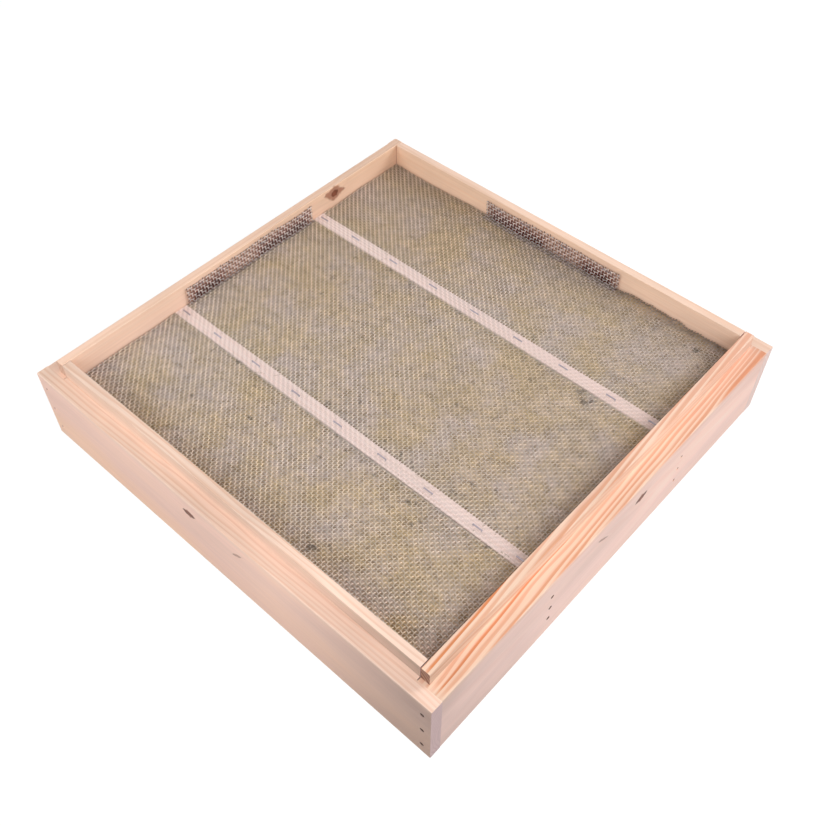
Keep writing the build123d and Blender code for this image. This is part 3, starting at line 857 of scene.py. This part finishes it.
def cloth_lie(look):
    """A node group for the loose lie of the wire cloth: how far a flat point drifts and rises."""
    group, given = new_tree("Cloth Lie", {"Flat": "Vector"}, ("Offset", "Vector"))
    flat = given["Flat"]
    place = put(group, SPLIT, [flat], out=None).outputs
    wave = put(group, NOISE, {
        "Vector": flat, "Scale": 1 / look.wave_length, "Detail": 1.0}, out=None).outputs

    # The staples hold the cloth down on the joists
    off_joist = off_joist_line(group, place["Y"])
    free = put(group, RANGE, [off_joist, 8 * MM, 50 * MM, 0.0, look.wave_height], **SOFT)
    swell = put(group, RANGE, [wave[0], 0.25, 0.75, -1.0, 1.0])
    rise = put(group, TIMES, [swell, free])
    sag = put(group, RANGE, [off_joist, 7 * MM, 20 * MM, 0.0, -look.sag], **SOFT)

    # The cut edge stands up along the back board, right of its vent strip
    at_back = put(group, RANGE, [place["Y"], INNER_FACE - 12 * MM, INNER_FACE], **SOFT)
    at_right = put(group, RANGE, [place["X"], 84 * MM, 110 * MM], **SOFT)
    curl = put(group, NOISE, {"Vector": flat, "Scale": 1 / (14 * MM), "Detail": 1.0})
    curl = put(group, RANGE, [curl, 0.3, 0.7, 0.5 * MM, 4.0 * MM])
    curl = chain(group, TIMES, curl, at_back, at_right)

    # A crease by the back board, where the sheet was pushed in
    from_crease = put(group, VECTOR_MINUS, [flat, (172 * MM, 211 * MM, 0)])
    from_crease = put(group, VECTOR_TIMES, [from_crease, (0.6, 1.6, 0)])
    from_crease = put(group, VECTOR, [from_crease], out="Value", operation="LENGTH")
    lump = put(group, RANGE, [from_crease, 0.0, 16 * MM, 2.5 * MM, 0.0], **SOFT)
    rise = chain(group, PLUS, rise, sag, curl, lump)

    # Slack of the weave in the sheet's own plane
    slack = put(group, VECTOR_MINUS, [wave[1], (0.5, 0.5, 0.5)])
    slack = put(group, VECTOR, {0: slack, "Scale": 2 * look.drift}, operation="SCALE")
    slack = put(group, SPLIT, [slack], out=None).outputs
    offset = put(group, COMBINE, [slack["X"], slack["Y"], rise])
    put(group, "NodeGroupOutput", [offset], out=None)
    return group


def wire_cloth_tree(lie):
    """A node tree for one set of a plain weave's wires, each bent over and under those across it."""
    tree, given = new_tree("Wire Cloth", {
        "Pitch": "Float", "Crossings": "Int", "First Wire": "Int", "Wires": "Int",
        "Wire Diameter": "Float", "Crimp": "Float", "Level": "Float", "Turned": "Bool",
        "Finish": "Material",
    })
    half_count = put(tree, TIMES, [given["Crossings"], 0.5])
    half_run = put(tree, TIMES, [half_count, given["Pitch"]])
    start = put(tree, TIMES, [half_run, -1.0])
    first = put(tree, PLUS, [given["First Wire"], 0.5])
    first = put(tree, MINUS, [first, half_count])
    first = put(tree, TIMES, [first, given["Pitch"]])
    wires = lay_wires(
        tree, put(tree, COMBINE, [start]), put(tree, COMBINE, [half_run]), given["Crossings"],
        given["Wires"], put(tree, COMBINE, {1: first}), put(tree, COMBINE, {1: given["Pitch"]}))

    # Over and under the wires across, with the slopes of its crowns as an attribute
    place, weave, slope = plain_weave(tree, given["Pitch"], "XY")
    slope = put(tree, TIMES, [slope, -1.0])
    wires = put(tree, "GeometryNodeStoreNamedAttribute", {
        "Geometry": wires, "Name": SLOPE, "Value": slope})
    weave = put(tree, TIMES, [weave, given["Crimp"]])
    straight = put(tree, COMBINE, [place["X"], place["Y"]])
    turned = put(tree, COMBINE, [place["Y"], place["X"]])
    flat = put(tree, "GeometryNodeSwitch", {
        "Switch": given["Turned"], "False": straight, "True": turned}, input_type="VECTOR")

    # The staples press it flat on the joists
    off_joist = off_joist_line(tree, put(tree, SPLIT, [flat], out="Y"))
    pressed = put(tree, RANGE, [off_joist, *PRESSED, 0.3, 1.0])
    weave = put(tree, TIMES, [weave, pressed])
    lower = put(tree, RANGE, [off_joist, *PRESSED, -0.2 * MM, 0.0])
    height = chain(tree, PLUS, weave, lower, given["Level"])
    spot = put(tree, VECTOR_PLUS, [flat, put(tree, COMBINE, {2: height})])
    loose = put(tree, "GeometryNodeGroup", [flat], node_tree=lie)
    wires = put(tree, "GeometryNodeSetPosition", {"Geometry": wires, "Position": spot, "Offset": loose})
    return end_tree(tree, round_wire(tree, wires, given["Wire Diameter"], 4), given["Finish"])


def vent_cloth_tree(lie):
    """A node tree for a strip of wire cloth bent up against a wall, with cut ends along its top."""
    tree, given = new_tree("Vent Cloth", {
        "Pitch": "Float", "Columns": "Int", "Rows Up": "Int", "Rows Down": "Int",
        "Wire Diameter": "Float", "Crimp": "Float", "Bend Radius": "Float", "Lean": "Float",
        "Wall": "Float", "Level": "Float", "Turned": "Bool", "Seed": "Int", "Finish": "Material",
    })
    pitch = given["Pitch"]
    top = put(tree, TIMES, [given["Rows Up"], pitch])
    foot = put(tree, TIMES, [given["Rows Down"], pitch])
    foot = put(tree, TIMES, [foot, -1.0])
    rows = put(tree, PLUS, [given["Rows Up"], given["Rows Down"]])
    half_count = put(tree, TIMES, [given["Columns"], 0.5])
    end = put(tree, TIMES, [half_count, pitch])
    start = put(tree, TIMES, [end, -1.0])
    half_pitch = put(tree, TIMES, [pitch, 0.5])
    crimp = given["Crimp"]

    # Two sets of wires, laid flat: x along the wall, y up the strip from its bend
    sets = []
    first_column = put(tree, PLUS, [start, half_pitch])
    first_row = put(tree, PLUS, [foot, half_pitch])
    side = put(tree, TIMES_PLUS, [given["Turned"], -2.0, 1.0])
    for upright in (True, False):
        low = put(tree, COMBINE, {1: foot} if upright else {0: start})
        high = put(tree, COMBINE, {1: top} if upright else {0: end})
        first = put(tree, COMBINE, {0: first_column} if upright else {1: first_row})
        step = put(tree, COMBINE, {0: pitch} if upright else {1: pitch})
        counts = (rows, given["Columns"]) if upright else (given["Columns"], rows)
        wires = lay_wires(tree, low, high, *counts, first, step)
        place, weave, slope = plain_weave(tree, pitch, "YX" if upright else "XY")
        weave = put(tree, TIMES, [weave, 1.0 if upright else -1.0])
        # Slopes with a painted highlight: the ones up, and those to the left strip's front or the back
        # strip's right
        slope = put(tree, TIMES, [slope, -1.0 if upright else side])
        shine = put(tree, TIMES_PLUS, [slope, 0.7, weave])
        wires = put(tree, "GeometryNodeStoreNamedAttribute", {
            "Geometry": wires, "Name": CROWN, "Value": shine})
        weave = put(tree, TIMES, [weave, crimp])
        if upright:
            # The shears left the ends at uneven heights
            column = put(tree, DIVIDED, [place["X"], pitch])
            column = put(tree, MATH, [column], operation="FLOOR")
            ragged = put(tree, "FunctionNodeRandomValue", {
                "ID": column, "Seed": given["Seed"], 2: -1.6 * MM, 3: 0.8 * MM}, out=1)
            at_end = put(tree, MINUS, [top, 0.1 * MM])
            at_end = put(tree, MATH, [place["Y"], at_end], operation="GREATER_THAN")
            ragged = put(tree, TIMES, [ragged, at_end])
            lift = put(tree, COMBINE, {1: ragged, 2: weave})
        else:
            lift = put(tree, COMBINE, {2: weave})
        sets.append(put(tree, "GeometryNodeSetPosition", {"Geometry": wires, "Offset": lift}))
    joined = put(tree, "GeometryNodeJoinGeometry", [sets[0]], out=None)
    tree.links.new(sets[1], joined.inputs[0])

    # Bend: y below 0 lies on the screen, y above 0 stands at the wall
    place = put(tree, SPLIT, [put(tree, "GeometryNodeInputPosition")], out=None).outputs
    round_off = put(tree, MATH, [given["Bend Radius"], 2.0], operation="POWER")
    turn = put(tree, TIMES_PLUS, [place["Y"], place["Y"], round_off])
    turn = put(tree, MATH, [turn], operation="SQRT")
    rise = put(tree, PLUS, [turn, place["Y"]])
    rise = put(tree, TIMES, [rise, 0.5])
    reach = put(tree, MINUS, [turn, place["Y"]])
    reach = put(tree, TIMES, [reach, 0.5])
    outward = put(tree, DIVIDED, [place["Y"], turn])
    outward = put(tree, TIMES_PLUS, [outward, 0.5, 0.5])
    upward = put(tree, MINUS, [1.0, outward])

    # The free top leans off the wall between its staples
    lean_at = put(tree, COMBINE, {0: place["X"], 2: given["Seed"]})
    lean = put(tree, NOISE, {"Vector": lean_at, "Scale": 1 / (48 * MM), "Detail": 1.0})
    lean = put(tree, RANGE, [lean, 0.4, 0.75, 0.0, given["Lean"]])
    stands = put(tree, DIVIDED, [rise, top])
    lean = put(tree, TIMES, [lean, stands])
    off_wall = put(tree, TIMES_PLUS, [place["Z"], outward, reach])
    clear = put(tree, TIMES_PLUS, [given["Wire Diameter"], 0.6, crimp])
    off_wall = chain(tree, PLUS, off_wall, lean, clear)
    height = put(tree, TIMES_PLUS, [place["Z"], upward, rise])
    height = put(tree, PLUS, [height, given["Level"]])
    at_left = put(tree, MINUS, [off_wall, given["Wall"]])
    at_back = put(tree, MINUS, [given["Wall"], off_wall])
    left = put(tree, COMBINE, [at_left, place["X"], height])
    back = put(tree, COMBINE, [place["X"], at_back, height])
    spot = put(tree, "GeometryNodeSwitch", {
        "Switch": given["Turned"], "False": back, "True": left}, input_type="VECTOR")
    flat = put(tree, VECTOR_TIMES, [spot, (1, 1, 0)])
    loose = put(tree, "GeometryNodeGroup", [flat], node_tree=lie)
    only_up = put(tree, VECTOR_TIMES, [loose, (0, 0, 1)])
    wires = put(tree, "GeometryNodeSetPosition", {
        "Geometry": joined.outputs[0], "Position": spot, "Offset": only_up})
    return end_tree(tree, round_wire(tree, wires, given["Wire Diameter"], 6), given["Finish"])


def wool_batt_tree(lie):
    """A node tree for a batt of wool: sides drawn in, a tufted top that sinks to its edges."""
    tree, given = new_tree("Wool Batt", {
        "Low": "Vector", "High": "Vector", "Step": "Float", "Draw": "Float", "Lift": "Float",
        "Tuft Depth": "Float", "Tuft Width": "Float", "Edge Drop": "Float", "Edge Width": "Float",
        "Finish": "Material",
    })
    size = put(tree, VECTOR_MINUS, [given["High"], given["Low"]])
    middle = put(tree, VECTOR_PLUS, [given["High"], given["Low"]])
    middle = put(tree, VECTOR, {0: middle, "Scale": 0.5}, operation="SCALE")
    step = put(tree, COMBINE, [given["Step"], given["Step"], given["Step"]])
    counts = put(tree, VECTOR, [size, step], operation="DIVIDE")
    counts = put(tree, SPLIT, [counts], out=None).outputs
    batt = put(tree, "GeometryNodeMeshCube", {
        "Size": size, "Vertices X": counts["X"], "Vertices Y": counts["Y"], "Vertices Z": counts["Z"]})

    # Shares of the half size: -1 to 1 from one side to the other
    spot = put(tree, "GeometryNodeInputPosition")
    half = put(tree, VECTOR, {0: size, "Scale": 0.5}, operation="SCALE")
    share = put(tree, VECTOR, [spot, half], operation="DIVIDE")
    square = put(tree, VECTOR_TIMES, [share, share])
    square = put(tree, SPLIT, [square], out=None).outputs
    pull_x = put(tree, MINUS, [1.0, square["Y"]])
    pull_y = put(tree, MINUS, [1.0, square["X"]])
    pull = put(tree, COMBINE, [pull_x, pull_y])
    pull = put(tree, VECTOR_TIMES, [pull, share])
    draw = put(tree, TIMES, [given["Draw"], -1.0])
    pull = put(tree, VECTOR, {0: pull, "Scale": draw}, operation="SCALE")

    # Top: follows the cloth over it, with hollows between the tufts and sunken edges
    world = put(tree, VECTOR_PLUS, [spot, middle])
    flat = put(tree, VECTOR_TIMES, [world, (1, 1, 0)])
    loose = put(tree, "GeometryNodeGroup", [flat], node_tree=lie)
    cloth_rise = put(tree, SPLIT, [loose], out="Z")
    fine = put(tree, DIVIDED, [1.0, given["Tuft Width"]])
    tuft = put(tree, NOISE, {"Vector": world, "Scale": fine, "Detail": 3.0, "Distortion": 0.6})
    hollow = put(tree, RANGE, [tuft, 0.25, 0.65, given["Tuft Depth"], 0.0])
    room = put(tree, VECTOR, [spot], operation="ABSOLUTE")
    room = put(tree, VECTOR_MINUS, [half, room])
    room = put(tree, SPLIT, [room], out=None).outputs
    room = put(tree, MATH, [room["X"], room["Y"]], operation="MINIMUM")
    drop = put(tree, RANGE, [room, 0.0, given["Edge Width"], given["Edge Drop"], 0.0], **SOFT)
    sink = chain(tree, MINUS, cloth_rise, hollow, drop)
    sink = put(tree, PLUS, [sink, given["Lift"]])
    upper = put(tree, SPLIT, [share], out="Z")
    upper = put(tree, RANGE, [upper, 0.5, 1.0], **SOFT)
    sink = put(tree, TIMES, [sink, upper])
    offset = chain(tree, VECTOR_PLUS, pull, middle, put(tree, COMBINE, {2: sink}))
    batt = put(tree, "GeometryNodeSetPosition", {"Geometry": batt, "Offset": offset})
    return end_tree(tree, batt, given["Finish"])


def wool_fibre_tree():
    """A node tree that strews curled fibres over the top of a batt."""
    tree, given = new_tree("Wool Fibres", {
        "Batt": "Geometry", "Density": "Float", "Thickness": "Float", "Length": "Float",
        "Seed": "Int", "Finish": "Material",
    })
    facing = put(tree, SPLIT, [put(tree, "GeometryNodeInputNormal")], out="Z")
    on_top = put(tree, MATH, [facing, 0.6], operation="GREATER_THAN")
    points = put(tree, "GeometryNodeDistributePointsOnFaces", {
        "Mesh": given["Batt"], "Selection": on_top, "Density": given["Density"],
        "Seed": given["Seed"]}, out=None, distribute_method="RANDOM").outputs

    # One fibre: a shallow curl that starts in the batt and comes back to it
    tip, tail, curl, crest = (
        put(tree, TIMES, [given["Length"], share]) for share in (0.5, -0.5, 0.45, 0.06))
    fibre = put(tree, "GeometryNodeCurveQuadraticBezier", {
        "Resolution": 4, "Start": put(tree, COMBINE, [tail]),
        "Middle": put(tree, COMBINE, {1: curl, 2: crest}), "End": put(tree, COMBINE, [tip])})
    fibre = round_wire(tree, fibre, given["Thickness"], 3)
    turn = put(tree, "FunctionNodeRandomValue", {
        0: (-0.15, -0.15, 0.0), 1: (0.15, 0.15, 2 * math.pi), "Seed": given["Seed"]},
        data_type="FLOAT_VECTOR")
    scale = put(tree, "FunctionNodeRandomValue", {2: 0.5, 3: 1.5, "Seed": given["Seed"]}, out=1)
    fibres = put(tree, "GeometryNodeInstanceOnPoints", {
        "Points": points["Points"], "Instance": fibre, "Rotation": turn, "Scale": scale})
    return end_tree(tree, fibres, given["Finish"])


def paint(node, material):
    """Gives a node of the packed model a new finish."""
    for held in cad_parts[node].material_slots:
        held.material = material


def seat(piece, slot, *nodes):
    """Fixes a finished piece to the cover and hides the nodes that it stands for."""
    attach(piece, BODY)
    if nodes:
        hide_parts(*nodes)


class HIVE_OT_dress_timber(bpy.types.Operator):
    """Give the boards, the joists and the roof panel their wood"""

    bl_idname = "hive_cover.dress_timber"
    bl_label = "Dress Timber"

    def execute(self, context):
        for timber in TIMBERS:
            paint(timber.node, planed_pine(timber, context.scene.hive_cover.pine))
        paint("roof_panel", sanded_plywood())
        return {"FINISHED"}


class HIVE_OT_dress_fasteners(bpy.types.Operator):
    """Give the nails and the staples their steel"""

    bl_idname = "hive_cover.dress_fasteners"
    bl_label = "Dress Fasteners"

    def execute(self, context):
        steel = darkened_steel()
        zinc = zinc_wire("zinc_coated_staples", linear("#C8BEC8"), roughness=0.3, bright=1.0)
        for node in ("corner_nails", "joist_nails", "roof_nails"):
            paint(node, steel)
        for place in ("front_joist", "back_joist", "left_strip", "back_strip"):
            paint(f"{place}_staples", zinc)
        return {"FINISHED"}


class HIVE_OT_fill_wool(bpy.types.Operator):
    """Fill the three bays with wool"""

    bl_idname = "hive_cover.fill_wool"
    bl_label = "Fill Wool"

    def execute(self, context):
        look = context.scene.hive_cover.wool
        finish = loose_wool(look)
        batts = wool_batt_tree(cloth_lie(context.scene.hive_cover.wire))
        fibres = wool_fibre_tree()
        for number, bay in enumerate(("front", "middle", "back")):
            low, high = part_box(f"{bay}_insulation")
            batt = grow(f"{bay}_wool", batts, {
                "Low": low, "High": high, "Step": look.step, "Draw": look.draw, "Lift": look.lift,
                "Tuft Depth": look.tuft_depth, "Tuft Width": look.tuft_width,
                "Edge Drop": look.edge_drop, "Edge Width": look.edge_width, "Finish": finish})
            strewn = grow(f"{bay}_wool_fibres", fibres, {
                "Density": look.fibre_density, "Thickness": look.fibre,
                "Length": look.fibre_length, "Seed": number, "Finish": finish}, base=batt)
            seat(batt, "wool", f"{bay}_insulation")
            seat(strewn, "wool")
        return {"FINISHED"}


class HIVE_OT_weave_screen(bpy.types.Operator):
    """Weave the wire screen over the bays"""

    bl_idname = "hive_cover.weave_screen"
    bl_label = "Weave Screen"

    def execute(self, context):
        look = context.scene.hive_cover.wire
        tree = wire_cloth_tree(cloth_lie(look))
        along = zinc_wire(
            "zinc_coated_wire", look.zinc, roughness=0.42, bright=0.15, dust=look.dust,
            blush=look.blush, slope_light=(0.27, -0.2))
        across = zinc_wire(
            "zinc_coated_cross_wire", look.cross_zinc, roughness=0.42, bright=0.15,
            dust=look.cross_dust, blush=look.blush, slope_light=(0.31, 0.2))
        half = look.crossings // 2
        sets = (
            ("screen_wires_front", False, 0),
            ("screen_wires_back", False, half),
            ("screen_wires_left", True, 0),
            ("screen_wires_right", True, half),
        )
        for name, turned, first in sets:
            crimp = -SCREEN_CRIMP if turned else SCREEN_CRIMP
            piece = grow(name, tree, {
                "Pitch": look.pitch, "Crossings": look.crossings, "First Wire": first,
                "Wires": half, "Wire Diameter": look.diameter, "Crimp": crimp * look.diameter,
                "Level": JOIST_TOP + SCREEN_RISE * look.diameter, "Turned": turned,
                "Finish": along if turned else across})
            seat(piece, "wire", "wire_screen")
        return {"FINISHED"}


class HIVE_OT_bend_strips(bpy.types.Operator):
    """Bend the strips of wire cloth over the vents"""

    bl_idname = "hive_cover.bend_strips"
    bl_label = "Bend Vent Strips"

    def execute(self, context):
        look = context.scene.hive_cover.wire
        tree = vent_cloth_tree(cloth_lie(look))
        finish = zinc_wire(
            "dulled_zinc_wire", look.dull, roughness=0.4, bright=0.12, dip_shade=look.slate)
        pitch = look.strip_pitch
        for number, (wall, turned, rows_down) in enumerate((("left", True, 1), ("back", False, 2))):
            low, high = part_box(f"{wall}_vent_strip")
            span = high.y - low.y if turned else high.x - low.x
            piece = grow(f"{wall}_vent_cloth", tree, {
                "Pitch": pitch, "Columns": 2 * int(span / 2 / pitch),
                "Rows Up": round((high.z - low.z) / pitch), "Rows Down": rows_down,
                "Wire Diameter": look.strip_diameter, "Crimp": STRIP_CRIMP * look.strip_diameter,
                "Bend Radius": look.bend_radius, "Lean": look.lean, "Wall": INNER_FACE,
                "Level": JOIST_TOP + look.strip_rise, "Turned": turned, "Seed": 3 + number,
                "Finish": finish})
            seat(piece, "wire", f"{wall}_vent_strip")
        return {"FINISHED"}


def seen_by_eye(tree):
    """Gives 1 for what the eye sees, also in metal or through glass, and 0 for light on the cover."""
    rays = put(tree, "ShaderNodeLightPath", out=None).outputs
    kinds = ("Is Camera Ray", "Is Glossy Ray", "Is Transmission Ray")
    return chain(tree, LARGER, *(rays[kind] for kind in kinds))


class HIVE_OT_set_stage(bpy.types.Operator):
    """Set the floor, the lights and the camera"""

    bl_idname = "hive_cover.set_stage"
    bl_label = "Set Stage"

    def execute(self, context):
        scene = context.scene
        look = scene.hive_cover.stage
        scene.view_settings.view_transform = "Standard"
        self.lay_floor(scene, look)
        self.hang_lights(scene, look)
        self.light_world(scene, look)
        self.place_camera(scene, look)
        return {"FINISHED"}

    def lay_floor(self, scene, look):
        """White paper, most of it glow for the eye, so that only a faint shadow shows on it."""
        material, tree = blank_material("white_paper_sweep")
        share = put(tree, TIMES, [seen_by_eye(tree), GLOW_SHARE])
        paper = put(tree, "ShaderNodeBsdfDiffuse", {"Color": look.paper})
        glow = put(tree, "ShaderNodeEmission", {"Strength": GLOW_STRENGTH})
        both = put(tree, "ShaderNodeMixShader", [share, paper, glow])
        put(tree, "ShaderNodeOutputMaterial", {"Surface": both}, out=None)
        level = cad_box[0].z - FLOOR_DROP
        mesh = bpy.data.meshes.new("floor")
        corners = ((-1, -1), (1, -1), (1, 1), (-1, 1))
        mesh.from_pydata(
            [(x * FLOOR_REACH, y * FLOOR_REACH, level) for x, y in corners], [], [(0, 1, 2, 3)])
        mesh.materials.append(material)
        floor = bpy.data.objects.new("floor", mesh)
        scene.collection.objects.link(floor)

    def hang_lights(self, scene, look):
        """Soft lights close by at the left, high up, behind, beside the camera and low at the right."""
        lamps = (
            ("left_softbox", look.left, 0.6, Vector((-0.52, -1.0, 0.65))),
            ("right_softbox", look.right, 1.0, Vector((1.0, -0.2, 1.6))),
            ("back_softbox", look.back, 0.9, Vector((0.9, 1.5, 1.0))),
            ("front_softbox", look.front, 0.9, Vector((1.0, -1.1, 0.8))),
            ("side_softbox", look.side, 0.7, Vector((1.5, 0.5, 0.35))),
        )
        for name, power, size, place in lamps:
            lamp = bpy.data.lights.new(name, "AREA")
            lamp.energy = power
            lamp.size = size
            holder = bpy.data.objects.new(name, lamp)
            holder.location = place
            holder.rotation_mode = "QUATERNION"
            holder.rotation_quaternion = (-place).to_track_quat("-Z", "Y")
            scene.collection.objects.link(holder)

    def light_world(self, scene, look):
        """White for the eye and in reflections, and an even light of less strength on the cover."""
        world = bpy.data.worlds.new("white_studio")
        world.use_nodes = True
        tree = world.node_tree
        tree.nodes.clear()
        strength = put(tree, RANGE, [seen_by_eye(tree), 0.0, 1.0, look.sky, 1.0])
        back = put(tree, "ShaderNodeBackground", {"Color": (1, 1, 1, 1), "Strength": strength})
        put(tree, "ShaderNodeOutputWorld", {"Surface": back}, out=None)
        scene.world = world

    def place_camera(self, scene, look):
        """The photograph's own view."""
        turn, tilt = look.azimuth, look.elevation
        ahead = Vector((math.sin(turn), -math.cos(turn), 0))
        away = math.cos(tilt) * ahead + Vector((0, 0, math.sin(tilt)))
        right = Vector((math.cos(turn), math.sin(turn), 0))
        up = away.cross(right)
        camera = bpy.data.cameras.new("camera")
        camera.sensor_width = SENSOR_WIDTH
        camera.lens = look.focal_pixels / PHOTO_WIDTH * SENSOR_WIDTH
        holder = bpy.data.objects.new("camera", camera)
        holder.matrix_world = Matrix.Translation(
            right * look.aim_right + up * look.aim_up + away * look.distance
        ) @ Matrix((right, up, away)).transposed().to_4x4()
        scene.collection.objects.link(holder)
        scene.camera = holder


OPERATORS = (
    HIVE_OT_dress_timber,
    HIVE_OT_dress_fasteners,
    HIVE_OT_fill_wool,
    HIVE_OT_weave_screen,
    HIVE_OT_bend_strips,
    HIVE_OT_set_stage,
)


class HIVE_PT_cover(bpy.types.Panel):
    """Steps and looks of the hive cover"""

    bl_idname = "HIVE_PT_cover"
    bl_label = "Hive Cover"
    bl_space_type = "VIEW_3D"
    bl_region_type = "UI"
    bl_category = "Hive Cover"

    def draw(self, context):
        for step in OPERATORS:
            self.layout.operator(step.bl_idname)
        cover = context.scene.hive_cover
        for group in (cover.pine, cover.wire, cover.wool, cover.stage):
            box = self.layout.box()
            box.label(text=group.__doc__)
            for name in group.__annotations__:
                box.prop(group, name)


CLASSES = (PineLook, WireLook, WoolLook, StageLook, HiveCover, *OPERATORS, HIVE_PT_cover)


def register():
    for kind in CLASSES:
        bpy.utils.register_class(kind)
    bpy.types.Scene.hive_cover = bpy.props.PointerProperty(type=HiveCover)


def unregister():
    del bpy.types.Scene.hive_cover
    for kind in reversed(CLASSES):
        bpy.utils.unregister_class(kind)


def main():
    register()
    bpy.ops.hive_cover.dress_timber()
    bpy.ops.hive_cover.dress_fasteners()
    bpy.ops.hive_cover.fill_wool()
    bpy.ops.hive_cover.weave_screen()
    bpy.ops.hive_cover.bend_strips()
    bpy.ops.hive_cover.set_stage()


if __name__ == "__main__":
    main()
